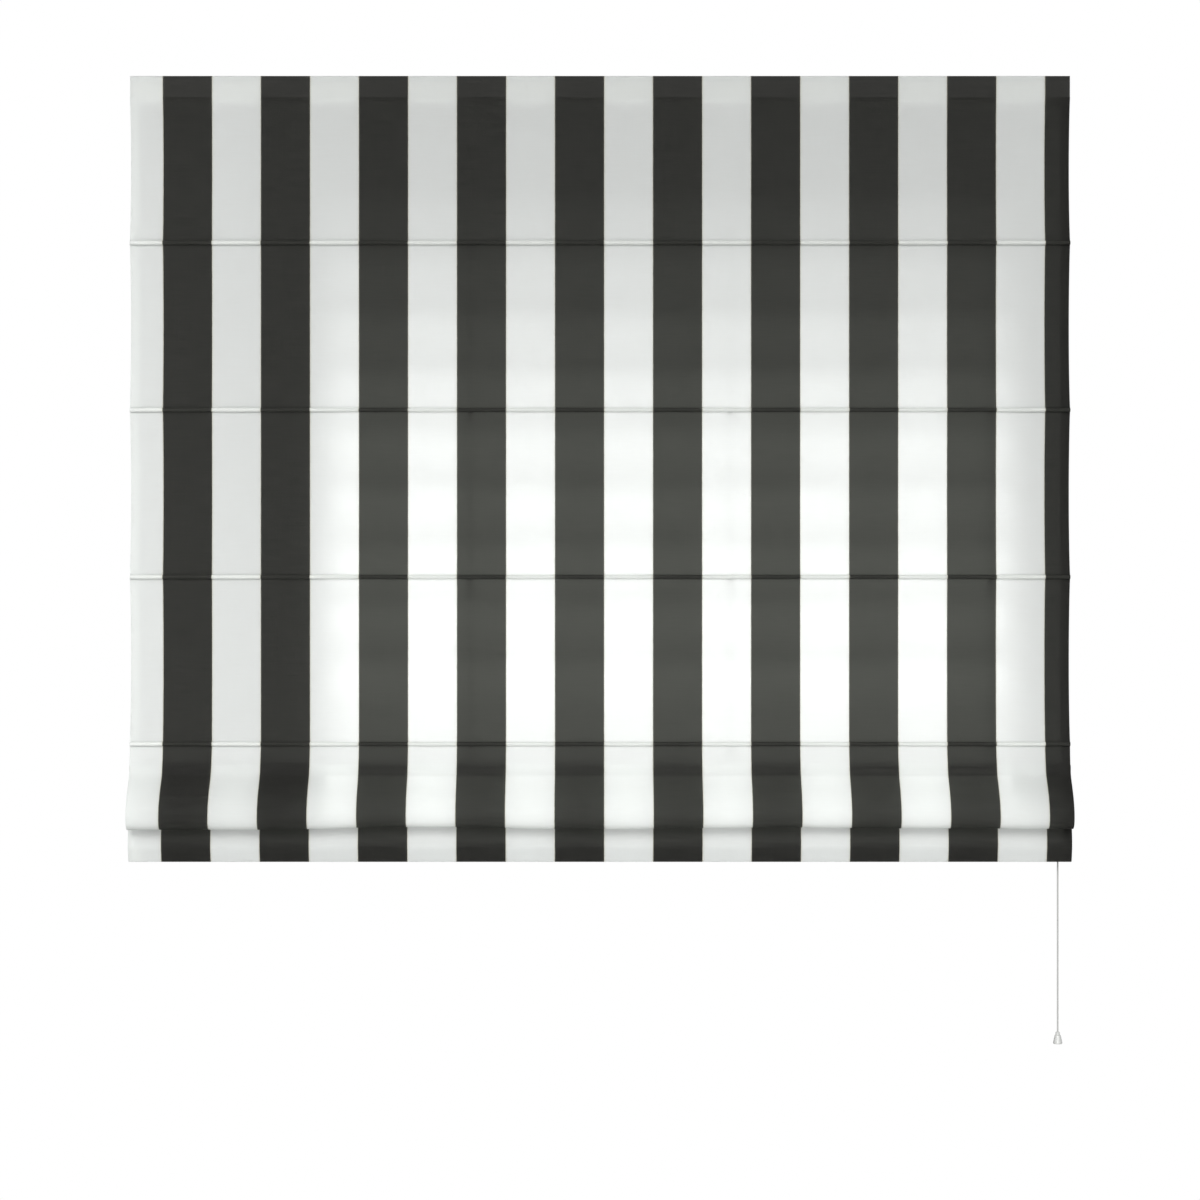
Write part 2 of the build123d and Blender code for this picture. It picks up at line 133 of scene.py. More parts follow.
def woven_cotton(name, dull, bright):
    """Yarn-dyed plain weave: matt and slightly slubbed; daylight shines through the white."""
    made, tree, out = new_material(name)
    spread = add(tree, "ShaderNodeUVMap", uv_map="cloth")
    axes = add(tree, "ShaderNodeSeparateXYZ", {0: spread.outputs[0]})
    # border threads wander by a fifth of a millimetre to each side
    wander = add(tree, "ShaderNodeTexNoise",
                 {"Vector": spread.outputs[0], "Scale": 90.0, "Detail": 2.0})
    shift = add(tree, "ShaderNodeMath", {0: wander.outputs[0], 1: BORDER_WANDER},
                operation="MULTIPLY")
    across = add(tree, "ShaderNodeMath", {0: axes.outputs[0], 1: shift.outputs[0]}, operation="ADD")
    start = add(tree, "ShaderNodeMath", {0: across.outputs[0], 1: FIRST_BORDER + BORDER_WANDER / 2},
                operation="SUBTRACT")
    pairs = add(tree, "ShaderNodeMath", {0: start.outputs[0], 1: 2 * STRIPE}, operation="DIVIDE")
    share = add(tree, "ShaderNodeMath", {0: pairs.outputs[0]}, operation="FRACT")
    dark = add(tree, "ShaderNodeMath", {0: share.outputs[0], 1: 0.5}, operation="LESS_THAN")
    # two cream warp threads run beside each border, drawn 1.3 mm wide so that they show
    from_middle = add(tree, "ShaderNodeMath", {0: share.outputs[0], 1: 0.75}, operation="SUBTRACT")
    off_middle = add(tree, "ShaderNodeMath", {0: from_middle.outputs[0]}, operation="ABSOLUTE")
    cream = add(tree, "ShaderNodeMapRange",
                {0: off_middle.outputs[0], 1: 0.25 - 1.6 * MM / (2 * STRIPE),
                 2: 0.25 - 0.9 * MM / (2 * STRIPE)})
    # weft slubs: about 40 mm long and 1.6 mm high, coarser than the thread so that they show
    weft_map = add(tree, "ShaderNodeMapping",
                   {"Vector": spread.outputs[0], "Scale": (25.0, 620.0, 1.0)})
    weft = add(tree, "ShaderNodeTexNoise",
               {"Vector": weft_map.outputs[0], "Scale": 1.0, "Detail": 3.0})
    warp_map = add(tree, "ShaderNodeMapping",
                   {"Vector": spread.outputs[0], "Scale": (620.0, 16.0, 1.0)})
    warp = add(tree, "ShaderNodeTexNoise",
               {"Vector": warp_map.outputs[0], "Scale": 1.0, "Detail": 2.0})
    threads = add(tree, "ShaderNodeMath", {0: warp.outputs[0], 1: 0.45, 2: weft.outputs[0]},
                  operation="MULTIPLY_ADD")
    # threads over and under each other, as two crossed waves
    wave_x = add(tree, "ShaderNodeMath", {0: axes.outputs[0], 1: 2 * pi / THREAD_DRAWN},
                 operation="MULTIPLY")
    wave_y = add(tree, "ShaderNodeMath", {0: axes.outputs[1], 1: 2 * pi / THREAD_DRAWN},
                 operation="MULTIPLY")
    sin_x = add(tree, "ShaderNodeMath", {0: wave_x.outputs[0]}, operation="SINE")
    sin_y = add(tree, "ShaderNodeMath", {0: wave_y.outputs[0]}, operation="SINE")
    weave = add(tree, "ShaderNodeMath", {0: sin_x.outputs[0], 1: sin_y.outputs[0]},
                operation="MULTIPLY")
    relief = add(tree, "ShaderNodeMath", {0: weave.outputs[0], 1: 0.25, 2: threads.outputs[0]},
                 operation="MULTIPLY_ADD")
    # a row of stitches holds each side hem, on its face and on its turned-in layer
    outward = add(tree, "ShaderNodeMath", {0: axes.outputs[0]}, operation="ABSOLUTE")
    inset = add(tree, "ShaderNodeMath", {0: outward.outputs[0], 1: HALF}, operation="SUBTRACT")
    beside = add(tree, "ShaderNodeMath", {0: inset.outputs[0]}, operation="ABSOLUTE")
    seam = add(tree, "ShaderNodeMath", {0: beside.outputs[0], 1: STITCH_INSET,
                                         2: STITCH_WIDE / 2},
               operation="COMPARE")
    stitches = add(tree, "ShaderNodeMath", {0: axes.outputs[1], 1: STITCH}, operation="DIVIDE")
    part_of = add(tree, "ShaderNodeMath", {0: stitches.outputs[0]}, operation="FRACT")
    thread = add(tree, "ShaderNodeMath", {0: part_of.outputs[0], 1: 0.75}, operation="LESS_THAN")
    sewn = add(tree, "ShaderNodeMath", {0: seam.outputs[0], 1: thread.outputs[0]},
               operation="MULTIPLY")
    raised = add(tree, "ShaderNodeMath", {0: sewn.outputs[0], 1: 1.6, 2: relief.outputs[0]},
                 operation="MULTIPLY_ADD")
    tone = add(tree, "ShaderNodeMapRange", {0: threads.outputs[0], 1: 0.5, 2: 0.95})
    white = add(tree, "ShaderNodeMix",
                {0: tone.outputs[0], 6: linear("#EFF1EF"), 7: linear("#F3F5F4")}, data_type="RGBA")
    edged = add(tree, "ShaderNodeMix",
                {0: cream.outputs[0], 6: white.outputs[2], 7: linear("#E4E0D2")}, data_type="RGBA")
    black = add(tree, "ShaderNodeMix", {0: tone.outputs[0], 6: linear(dull), 7: linear(bright)},
                data_type="RGBA")
    dye = add(tree, "ShaderNodeMix", {0: dark.outputs[0], 6: edged.outputs[2], 7: black.outputs[2]},
              data_type="RGBA")
    through = add(tree, "ShaderNodeMix",
                  {0: dark.outputs[0], 6: linear("#F6F7F6"), 7: linear("#A2A49F")},
                  data_type="RGBA")
    bump = add(tree, "ShaderNodeBump", {"Strength": 0.3, "Distance": 0.25 * MM,
                                        "Height": raised.outputs[0]})
    body = add(tree, "ShaderNodeBsdfPrincipled", {
        "Base Color": dye.outputs[2], "Roughness": 0.62, "Specular IOR Level": 0.15,
        "Normal": bump.outputs[0]})
    glow = add(tree, "ShaderNodeBsdfTranslucent",
               {"Color": through.outputs[2], "Normal": bump.outputs[0]})
    both = add(tree, "ShaderNodeMixShader", {0: SHEER, 1: body.outputs[0], 2: glow.outputs[0]})
    tree.links.new(both.outputs[0], out.inputs[0])
    return made


def grainy(name, low, high, grain_mm, bump_mm, roughness, spread=(1.0, 1.0, 1.0), **extra):
    """A moulded, coated or drawn surface: two close tones and a fine relief, by grain size."""
    made, tree, out = new_material(name)
    place = add(tree, "ShaderNodeTexCoord")
    sized = add(tree, "ShaderNodeMapping", {"Vector": place.outputs["Object"], "Scale": spread})
    grain = add(tree, "ShaderNodeTexNoise",
                {"Vector": sized.outputs[0], "Scale": 1 / (grain_mm * MM), "Detail": 4.0})
    broad = add(tree, "ShaderNodeTexNoise",
                {"Vector": place.outputs["Object"], "Scale": 1 / (40 * MM), "Detail": 2.0})
    tone = add(tree, "ShaderNodeMath", {0: grain.outputs[0], 1: broad.outputs[0]}, operation="ADD")
    ramp = add(tree, "ShaderNodeMapRange", {0: tone.outputs[0], 1: 0.7, 2: 1.3})
    colour = add(tree, "ShaderNodeMix", {0: ramp.outputs[0], 6: linear(low), 7: linear(high)},
                 data_type="RGBA")
    rough = add(tree, "ShaderNodeMapRange",
                {0: grain.outputs[0], 1: 0.3, 2: 0.7, 3: roughness - 0.06, 4: roughness + 0.06})
    bump = add(tree, "ShaderNodeBump", {"Strength": 0.4, "Distance": bump_mm * MM,
                                        "Height": grain.outputs[0]})
    fields = {"Base Color": colour.outputs[2], "Roughness": rough.outputs[0],
              "Normal": bump.outputs[0], **extra}
    surface = add(tree, "ShaderNodeBsdfPrincipled", fields)
    tree.links.new(surface.outputs[0], out.inputs[0])
    return made


def braided_cord(name, diameter, low, high):
    """Polyester braid: strands cross in two directions along the cord; the grooves between the
    strands are painted darker, as painted shade.
    """
    made, tree, out = new_material(name)
    place = add(tree, "ShaderNodeTexCoord")
    axes = add(tree, "ShaderNodeSeparateXYZ", {0: place.outputs["Object"]})
    pitch = 1.4 * diameter
    along = add(tree, "ShaderNodeMath", {0: axes.outputs[2], 1: 2 * pi / pitch},
                operation="MULTIPLY")
    side = add(tree, "ShaderNodeMath", {0: axes.outputs[0], 1: 2 * pi / (0.5 * diameter)},
               operation="MULTIPLY")
    rising = add(tree, "ShaderNodeMath", {0: along.outputs[0], 1: side.outputs[0]}, operation="ADD")
    falling = add(tree, "ShaderNodeMath", {0: along.outputs[0], 1: side.outputs[0]},
                  operation="SUBTRACT")
    left = add(tree, "ShaderNodeMath", {0: rising.outputs[0]}, operation="SINE")
    right = add(tree, "ShaderNodeMath", {0: falling.outputs[0]}, operation="SINE")
    strand = add(tree, "ShaderNodeMath", {0: left.outputs[0], 1: right.outputs[0]},
                 operation="MAXIMUM")
    # strand crests lighter and the grooves between them darker: painted shade
    ramp = add(tree, "ShaderNodeMapRange", {0: strand.outputs[0], 1: -0.6, 2: 1.0})
    colour = add(tree, "ShaderNodeMix", {0: ramp.outputs[0], 6: linear(low), 7: linear(high)},
                 data_type="RGBA")
    bump = add(tree, "ShaderNodeBump", {"Strength": 0.6, "Distance": 0.12 * diameter,
                                        "Height": ramp.outputs[0]})
    surface = add(tree, "ShaderNodeBsdfPrincipled", {
        "Base Color": colour.outputs[2], "Roughness": 0.7, "Sheen Weight": 0.15,
        "Normal": bump.outputs[0]})
    tree.links.new(surface.outputs[0], out.inputs[0])
    return made


def pile_tape(name, low, high, tuft_mm):
    """Hook-and-loop tape: rows of nylon tufts on a woven ground; the ground between the tufts is
    painted darker, as painted shade.
    """
    made, tree, out = new_material(name)
    place = add(tree, "ShaderNodeTexCoord")
    tufts = add(tree, "ShaderNodeTexVoronoi",
                {"Vector": place.outputs["Object"], "Scale": 1 / (tuft_mm * MM),
                 "Randomness": 0.35})
    # tuft tops lighter and the ground between them darker: painted shade
    ramp = add(tree, "ShaderNodeMapRange", {0: tufts.outputs[0], 1: 0.0, 2: 0.7, 3: 1.0, 4: 0.0})
    colour = add(tree, "ShaderNodeMix", {0: ramp.outputs[0], 6: linear(low), 7: linear(high)},
                 data_type="RGBA")
    bump = add(tree, "ShaderNodeBump", {"Strength": 0.8, "Distance": 0.4 * MM,
                                        "Height": ramp.outputs[0]})
    surface = add(tree, "ShaderNodeBsdfPrincipled", {
        "Base Color": colour.outputs[2], "Roughness": 0.85, "Sheen Weight": 0.3,
        "Normal": bump.outputs[0]})
    tree.links.new(surface.outputs[0], out.inputs[0])
    return made


COTTON = woven_cotton("yarn_dyed_woven_cotton", "#2C2C2A", "#3F3E3C")
# pressed flat over the white tape, the band's black stripes are painted paler: painted light,
# standing in for the white tape showing through the pressed cloth
BAND_COTTON_PAINTED_PALER = woven_cotton("woven_cotton_band_painted_paler", "#424240", "#4F4E4C")
# baked polyester powder on an extruded rail: satin, with a faint orange peel
POWDER = grainy("powder_coated_aluminium", "#DEDEDC", "#E8E8E6", 1.6, 0.05, 0.38)
# pressed steel with a thin zinc plate: cool grey, softly mottled
ZINC = grainy("zinc_plated_pressed_steel", "#A2A5A8", "#BDC0C2", 5.0, 0.02, 0.34, Metallic=1.0)
# injection-moulded white plastic: even, with the mould's fine matt texture
MOULDED = grainy("moulded_white_plastic", "#DADAD6", "#E6E6E3", 0.7, 0.02, 0.45, IOR=1.53)
# the knob's mould is polished, so it has a light sheen
POLISHED = grainy("polished_moulded_plastic", "#BDBEBC", "#CACBC9", 1.2, 0.01, 0.24, IOR=1.5)
# turned and drawn pins: bright, with fine lines along them
TURNED = grainy("bright_turned_steel", "#B4B6B8", "#CDCFD0", 0.3, 0.01, 0.25, Metallic=1.0)
# knurled brass roller
BRASS = grainy("knurled_turned_brass", "#A98B4A", "#CDB06B", 0.8, 0.25, 0.33, Metallic=1.0)
# pultruded glass fibre: long glassy streaks along the rod
FIBRE = grainy("pultruded_glass_fibre", "#C9CABF", "#DDDED6", 0.5, 0.02, 0.40, (0.02, 1.0, 1.0))
# mill-finish flat bar: drawn lines along its length
MILL = grainy("mill_finish_aluminium", "#B9BBBD", "#CFD1D3", 0.5, 0.01, 0.30, (0.01, 1.0, 1.0),
              Metallic=1.0)
HOOKS = pile_tape("nylon_hook_tape", "#C8C8C4", "#E4E4E0", 1.5)
LOOPS = pile_tape("nylon_loop_tape", "#CFCFCB", "#E6E6E2", 0.9)
LIFT_BRAID = braided_cord("braided_polyester_lift_cord", 1.4 * MM, "#BDBDB8", "#E8E8E4")
PULL_BRAID = braided_cord("braided_polyester_pull_cord", 2.2 * MM, "#9B9B99", "#B2B2B0")

FINISHES = {
    "headrail": POWDER, "hook_tape": HOOKS, "loop_tape": LOOPS, "lock_roller": BRASS,
    "bottom_bar": MILL, "pull_knob": POLISHED, "lock_axle": TURNED, "shade_fabric": COTTON,
    "pull_cord": PULL_BRAID,
}
FAMILIES = (
    ("bracket_cam", MOULDED), ("bracket", ZINC), ("cam_rivet", TURNED), ("guide_axle", TURNED),
    ("lift_cord", LIFT_BRAID), ("rod_caps", MOULDED), ("rod", FIBRE),
)


def finish_for(node):
    """The material of a CAD node, by its name or its family; the rest is moulded plastic."""
    if node in FINISHES:
        return FINISHES[node]
    for family, material in FAMILIES:
        if node.startswith(family):
            return material
    return MOULDED


def dress(piece, material):
    """Give a piece one material."""
    piece.data.materials.clear()
    piece.data.materials.append(material)


for node_name, node_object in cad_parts.items():
    dress(node_object, finish_for(node_name))


# ================================================================ cloth
def smooth_line(points, step):
    """Points at even steps along a smooth curve through the given ones."""
    p = np.array(points, float)
    ends = np.vstack([2 * p[0] - p[1], p, 2 * p[-1] - p[-2]])
    dense = []
    for a, b, c, d in zip(ends[:-3], ends[1:-2], ends[2:-1], ends[3:]):
        for t in np.linspace(0, 1, 24, endpoint=False):
            dense.append(0.5 * (2 * b + (c - a) * t + (2 * a - 5 * b + 4 * c - d) * t ** 2
                                + (3 * b - 3 * c + d - a) * t ** 3))
    dense.append(p[-1])
    dense = np.array(dense)
    lengths = np.append(0, np.cumsum(np.linalg.norm(np.diff(dense, axis=0), axis=1)))
    even = np.linspace(0, lengths[-1], max(3, round(lengths[-1] / step) + 1))
    return np.column_stack([np.interp(even, lengths, dense[:, i]) for i in (0, 1)])


def across_columns(hemmed):
    """(cloth coordinate, place across, depth behind the face) for each column of cloth."""
    count = round(2 * HALF / COLUMN)
    face = [(x, x, 0.0) for x in np.linspace(-HALF + HEM_LAYER / 2, HALF - HEM_LAYER / 2, count)]
    if not hemmed:
        return [(-HALF, -HALF, 0.0)] + face + [(HALF, HALF, 0.0)]
    fold, r = [], HEM_LAYER / 2
    for angle in (45, 90, 135):
        a = radians(angle)
        fold.append((HALF, HALF - r + r * sin(a), r - r * cos(a)))
    for inset in (0.5 * MM, SIDE_HEM / 2, SIDE_HEM):
        fold.append((HALF + inset, HALF - inset, HEM_LAYER))
    left = [(-u, -x, d) for u, x, d in reversed(fold)]
    return left + face + fold


def ripple(x, along):
    """Soft unevenness of hanging cloth, in metres, zero where a rod keeps it straight."""
    held = np.sin(pi * along) ** 0.8
    waves = (0.9 * np.sin(9.1 * x + 0.7) + 0.6 * np.sin(17.3 * x + 2.1 + 2.0 * along)
             + 0.35 * np.sin(31.0 * x + 4.0 * along))
    return held * waves * 0.45 * MM


def cloth_piece(name, line, start_length, shape=None, hemmed=True, rippled=True):
    """Cloth swept across the blind along a line of (forward, height), with its woven UV map."""
    line = np.array(line, float)
    step = np.diff(line, axis=0)
    tangent = np.vstack([step[:1], step[:-1] + step[1:], step[-1:]])
    tangent /= np.linalg.norm(tangent, axis=1)[:, None]
    lengths = start_length + np.append(0, np.cumsum(np.linalg.norm(step, axis=1)))
    span = (lengths - lengths[0]) / (lengths[-1] - lengths[0])
    columns = across_columns(hemmed)
    u = np.array([c[0] for c in columns])
    x = np.array([c[1] for c in columns])
    depth = np.array([c[2] for c in columns])
    grid = np.zeros((len(line), len(columns), 3))
    drawn = EDGE_DRAW * (np.abs(x) / HALF) ** 9 * np.sign(x)
    for i, ((forward, height), (t_forward, t_height)) in enumerate(zip(line, tangent)):
        # the cloth's back is to the right of its way down
        back_y, back_z = -t_height, -t_forward
        held = sin(pi * span[i]) ** 0.7 if rippled else 0.0
        grid[i, :, 0] = x - drawn * held
        soft = ripple(x, span[i]) if rippled else 0.0
        grid[i, :, 1] = FACE_Y - forward + back_y * (depth - soft)
        grid[i, :, 2] = height + back_z * (depth - soft)
    if shape is not None:
        grid = shape(grid, span)
    rows, cols = grid.shape[:2]
    faces = []
    for i in range(rows - 1):
        for j in range(cols - 1):
            a = i * cols + j
            faces.append((a, a + cols, a + cols + 1, a + 1))
    mesh = bpy.data.meshes.new(name)
    mesh.from_pydata(grid.reshape(-1, 3).tolist(), [], faces)
    cloth_map = mesh.uv_layers.new(name="cloth")
    corner = np.array([loop.vertex_index for loop in mesh.loops])
    spread = np.column_stack([u[corner % cols], lengths[corner // cols]])
    cloth_map.data.foreach_set("uv", spread.astype(np.float32).ravel())
    piece = bpy.data.objects.new(name, mesh)
    bpy.context.collection.objects.link(piece)
    alone(piece)
    thick = piece.modifiers.new("thickness", "SOLIDIFY")
    thick.thickness = CLOTH
    thick.offset = 0.0
    thick.use_even_offset = True
    bpy.ops.object.modifier_apply(modifier="thickness")
    bpy.ops.object.shade_smooth_by_angle(angle=radians(50))
    dress(piece, COTTON)
    return piece, 2 * HALF, lengths[-1] - lengths[0]


def alone(piece):
    """Select one piece only and make it active."""
    bpy.ops.object.select_all(action="DESELECT")
    piece.select_set(True)
    bpy.context.view_layer.objects.active = piece


def straight(top, bottom, step):
    """A flat hanging line from top to bottom."""
    count = max(2, round((top - bottom) / step) + 1)
    return [(0.0, z) for z in np.linspace(top, bottom, count)]


def sleeve_line(rod_z):
    """Down to the stitched neck, once round the rod on the cloth's face, and on down."""
    neck = [(0.0, NECK), (0.04 * MM, 1.7 * MM), (0.18 * MM, 1.05 * MM), (0.42 * MM, 1.2 * MM)]
    turn = []
    for angle in np.linspace(44, 316, 19):
        a = radians(angle)
        turn.append((ROD_FORWARD - SLEEVE_R * cos(a), SLEEVE_R * sin(a)))
    mirrored = [(f, -h) for f, h in reversed(neck)]
    return [(f, rod_z + h) for f, h in neck + turn + mirrored]


def hang(piece, body):
    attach(piece, body)


def level_body(k):
    """The body that carries rod k; level 0 is the rail and level 5 the hem."""
    return "rail" if k == 0 else "hem" if k == 5 else f"rod_level_{k}"


band_low = TOP - BAND
run_length = 0.0

# heading: the top edge is folded behind, and the band lies on the tapes
heading_line = [(-HEM_LAYER, TOP - 5.5 * MM), (-HEM_LAYER, TOP - 0.5 * MM), (-HEM_LAYER / 2, TOP),
                (0.0, TOP - 0.5 * MM)] + straight(TOP - 4 * MM, band_low, ROW)
heading, width, length = cloth_piece("cloth_heading", heading_line, run_length, hemmed=False,
                                     rippled=False)
hang(heading, "rail")
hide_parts("shade_fabric")
# the heading band gets the cotton whose black stripes are painted paler, as painted light
dress(heading, BAND_COTTON_PAINTED_PALER)
run_length += length

for k in FOLDS:
    panel_top = band_low if k == 1 else ROD_Z[k - 2] - NECK
    panel_low = ROD_Z[k - 1] + NECK
    panel, width, length = cloth_piece(f"cloth_panel_{k}", straight(panel_top, panel_low, ROW),
                                       run_length)
    hang(panel, level_body(k - 1))
    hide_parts("shade_fabric")
    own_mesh(panel)
    run_length += length
    sleeve, width, length = cloth_piece(f"cloth_sleeve_{k}", sleeve_line(ROD_Z[k - 1]), run_length,
                                        hemmed=False, rippled=False)
    hang(sleeve, level_body(k))
    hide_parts("shade_fabric")
    run_length += length

# ---------------------------------------------------------------- gathered last fold
FOLD_DEPTH = 113.2 * MM
fold_mm = [(0, 2.6), (1.4, 7), (5.3, 20), (8.6, 30), (13.6, 41.5), (20.5, 50), (29, 59), (38, 70),
           (44.8, 81.5), (48.2, 92), (48.3, 102.5), (45, 109.6), (38, 113.2), (30.5, 110.6),
           (25.5, 101.5), (21.5, 86), (16.8, 67), (11, 50), (8.5, 41), (8.2, 33.5), (6.9, 30.2),
           (4.1, 29.0), (1.3, 30.2), (0, 31.4)]
fold_line = smooth_line([(f * MM, ROD_Z[3] - b * MM) for f, b in fold_mm], FINE_ROW)


def sag(grid, span):
    """The fold hangs a little lower at its ends and middle than between them."""
    x = grid[:, :, 0] / HALF
    below = np.clip((ROD_Z[3] - grid[:, :, 2]) / FOLD_DEPTH, 0, 1)
    lower = 1.3 * np.cos(2 * pi * x * 1.38) * (1 - x ** 4) + 1.6 * x ** 4 - 0.9 * x ** 3
    shaped = grid.copy()
    shaped[:, :, 2] -= lower * MM * below ** 2
    belly = np.sin(pi * span) ** 2
    shaped[:, :, 1] -= (0.8 * np.sin(11 * grid[:, :, 0] + 0.5) * MM) * belly[:, None]
    return shaped


last_fold, width, length = cloth_piece("cloth_last_fold", fold_line, run_length, shape=sag)
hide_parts("shade_fabric")
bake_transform(last_fold)
# each point's share of the way along the back half of the fold, past its lowest line
woven = np.zeros(len(last_fold.data.loops) * 2, np.float32)
last_fold.data.uv_layers["cloth"].data.foreach_get("uv", woven)
corners = np.array([loop.vertex_index for loop in last_fold.data.loops])
reached = np.zeros(len(last_fold.data.vertices))
reached[corners] = woven[1::2]
share = np.clip((2 * (reached - run_length) - length) / length, 0, 1)
run_length += length

# ------------------------------------------------- sleeve of rod 5, hem and bar pocket
sleeve, width, length = cloth_piece("cloth_sleeve_5", sleeve_line(ROD_Z[4]), run_length,
                                    hemmed=False, rippled=False)
hang(sleeve, "hem")
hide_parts("shade_fabric")
run_length += length


def by_bar(out, up):
    """A point beside the bottom bar, out of its face and up its width, in the cloth's line."""
    forward = FACE_Y - BAR[1] + out * cos(BAR_TILT) + up * sin(BAR_TILT)
    return (forward, BAR[2] + up * cos(BAR_TILT) - out * sin(BAR_TILT))


POCKET = 2.75 * MM
UNDER_BAR = 11.3 * MM
hem_down = [(0.0, ROD_Z[4] - NECK), (0.1 * MM, ROD_Z[3] - 50 * MM), (2.2 * MM, ROD_Z[3] - 62 * MM),
            (8.2 * MM, ROD_Z[3] - 88 * MM), (14.5 * MM, ROD_Z[3] - 112 * MM),
            (17.6 * MM, ROD_Z[3] - 128 * MM), by_bar(POCKET * 0.55, 13.6 * MM),
            by_bar(POCKET, 8 * MM), by_bar(POCKET, -8 * MM)]
pocket_round = [by_bar(POCKET * 0.85, -10.4 * MM), by_bar(0, -UNDER_BAR),
                by_bar(-POCKET * 0.85, -10.4 * MM), by_bar(-POCKET, -8 * MM)]
pocket_back = [by_bar(-POCKET, 8 * MM), by_bar(-POCKET * 0.7, 11 * MM),
               by_bar(-0.35 * MM, 13.4 * MM)]
hem_line = np.vstack([smooth_line(hem_down, FINE_ROW), smooth_line(pocket_round, 0.8 * MM),
                      smooth_line(pocket_back, FINE_ROW)])
hem_panel, width, length = cloth_piece("cloth_hem", hem_line, run_length, rippled=False)
hang(hem_panel, "hem")
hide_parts("shade_fabric")

# ================================================================ cords
PULL_WIDE = 2.2 * MM
pull_route = [(0.635, -0.0185, -0.294), (0.635, -0.0185, -0.8), (0.635, -0.0185, -1.3027)]
pull_curve = bpy.data.curves.new("pull_cord_braid", "CURVE")
pull_curve.dimensions = "3D"
pull_curve.bevel_depth = PULL_WIDE / 2
pull_curve.bevel_resolution = 4
pull_curve.use_fill_caps = True
run = pull_curve.splines.new("NURBS")
run.points.add(len(pull_route) - 1)
for point, place in zip(run.points, pull_route):
    point.co = (*place, 1.0)
run.order_u = 3
run.use_endpoint_u = True
run.resolution_u = 6
pull_cord = bpy.data.objects.new("pull_cord_braid", pull_curve)
bpy.context.collection.objects.link(pull_cord)
dress(pull_cord, PULL_BRAID)
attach(pull_cord, "pull")
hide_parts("pull_cord")

CORD_R = 0.7 * MM                 # lift cord's radius
CORD_Y = middle("lift_cord_1")[1]
stop_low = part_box("cord_stops")[0][2]
cord_box = [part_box(f"lift_cord_{k}") for k in FOLDS]
cord_x = [box[0][0] + CORD_R for box in cord_box]
lane_z = [box[1][2] - CORD_R for box in cord_box]
tail_x = [box[1][0] - CORD_R for box in cord_box]
tail_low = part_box("cord_connector")[1][2]
TURN_R = 4.75 * MM                # a cord's turn round its guide pulley
DRUM_R = 6.75 * MM                # and the smallest turn round the lock's drum
RAIL_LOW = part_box("guide_housing_1")[0][2]
LOCK_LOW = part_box("lock_housing")[0][2]


def tube(points, radius, sides=10):
    """Rings of a round cord along points in one upright plane: (vertices, faces)."""
    p = np.array(points, float)
    along = np.gradient(p, axis=0)
    along /= np.linalg.norm(along, axis=1)[:, None]
    out_y = np.array([0.0, 1.0, 0.0])
    verts, faces = [], []
    for place, way in zip(p, along):
        side = np.cross(way, out_y)
        for s in range(sides):
            a = 2 * pi * s / sides
            verts.append(place + radius * (cos(a) * side + sin(a) * out_y))
    for i in range(len(p) - 1):
        for s in range(sides):
            a, b = i * sides + s, i * sides + (s + 1) % sides
            faces.append((a, b, b + sides, a + sides))
    faces.append(tuple(reversed(range(sides))))
    faces.append(tuple(range((len(p) - 1) * sides, len(p) * sides)))
    return verts, faces


def cord_group(name, routes):
    """One piece of several parallel cords."""
    verts, faces = [], []
    for route in routes:
        new_verts, new_faces = tube(route, CORD_R)
        faces += [tuple(i + len(verts) for i in face) for face in new_faces]
        verts += new_verts
    mesh = bpy.data.meshes.new(name)
    mesh.from_pydata([tuple(v) for v in verts], [], faces)
    piece = bpy.data.objects.new(name, mesh)
    bpy.context.collection.objects.link(piece)
    alone(piece)
    bpy.ops.object.mode_set(mode="EDIT")
    bpy.ops.mesh.select_all(action="SELECT")
    bpy.ops.mesh.normals_make_consistent(inside=False)
    bpy.ops.object.mode_set(mode="OBJECT")
    bpy.ops.object.shade_smooth_by_angle(angle=radians(50))
    dress(piece, LIFT_BRAID)
    return piece


def arc(centre_x, centre_z, radius, start, end):
    """Points of a turn in the cords' plane, angles in degrees from +X towards +Z."""
    return [(centre_x + radius * cos(radians(a)), CORD_Y, centre_z + radius * sin(radians(a)))
            for a in np.linspace(start, end, 13)]


rail_routes = []
for i in range(4):
    up = [(cord_x[i], CORD_Y, RAIL_LOW), (cord_x[i], CORD_Y, RAIL_LOW + 4 * MM)]
    over = arc(cord_x[i] + TURN_R, lane_z[i] - TURN_R, TURN_R, 180, 90)
    drum_r = DRUM_R + lane_z[i] - lane_z[3]
    down = arc(tail_x[i] - drum_r, lane_z[i] - drum_r, drum_r, 90, 0)
    rail_routes.append(up + over + down + [(tail_x[i], CORD_Y, LOCK_LOW)])
rail_cords = cord_group("lift_cords_in_rail", rail_routes)
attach(rail_cords, "rail")
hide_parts("lift_cord_1", "lift_cord_2", "lift_cord_3", "lift_cord_4")

for k in FOLDS:
    run_top = RAIL_LOW if k == 1 else ROD_Z[k - 2]
    run_low = ROD_Z[k - 1]
    routes = [[(x, CORD_Y, z) for z in np.linspace(run_top, run_low, 6)] for x in cord_x]
    runs = cord_group(f"lift_cord_runs_{k}", routes)
    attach(runs, level_body(k - 1))
    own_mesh(runs)

routes = [[(x, CORD_Y, z) for z in np.linspace(ROD_Z[3], stop_low, 5)] for x in cord_x]
last_runs = cord_group("lift_cord_runs_5", routes)
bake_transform(last_runs)

routes = [[(x, CORD_Y, z) for z in np.linspace(LOCK_LOW, tail_low, 12)] for x in tail_x]
tails = cord_group("lift_cord_tails", routes)
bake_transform(tails)

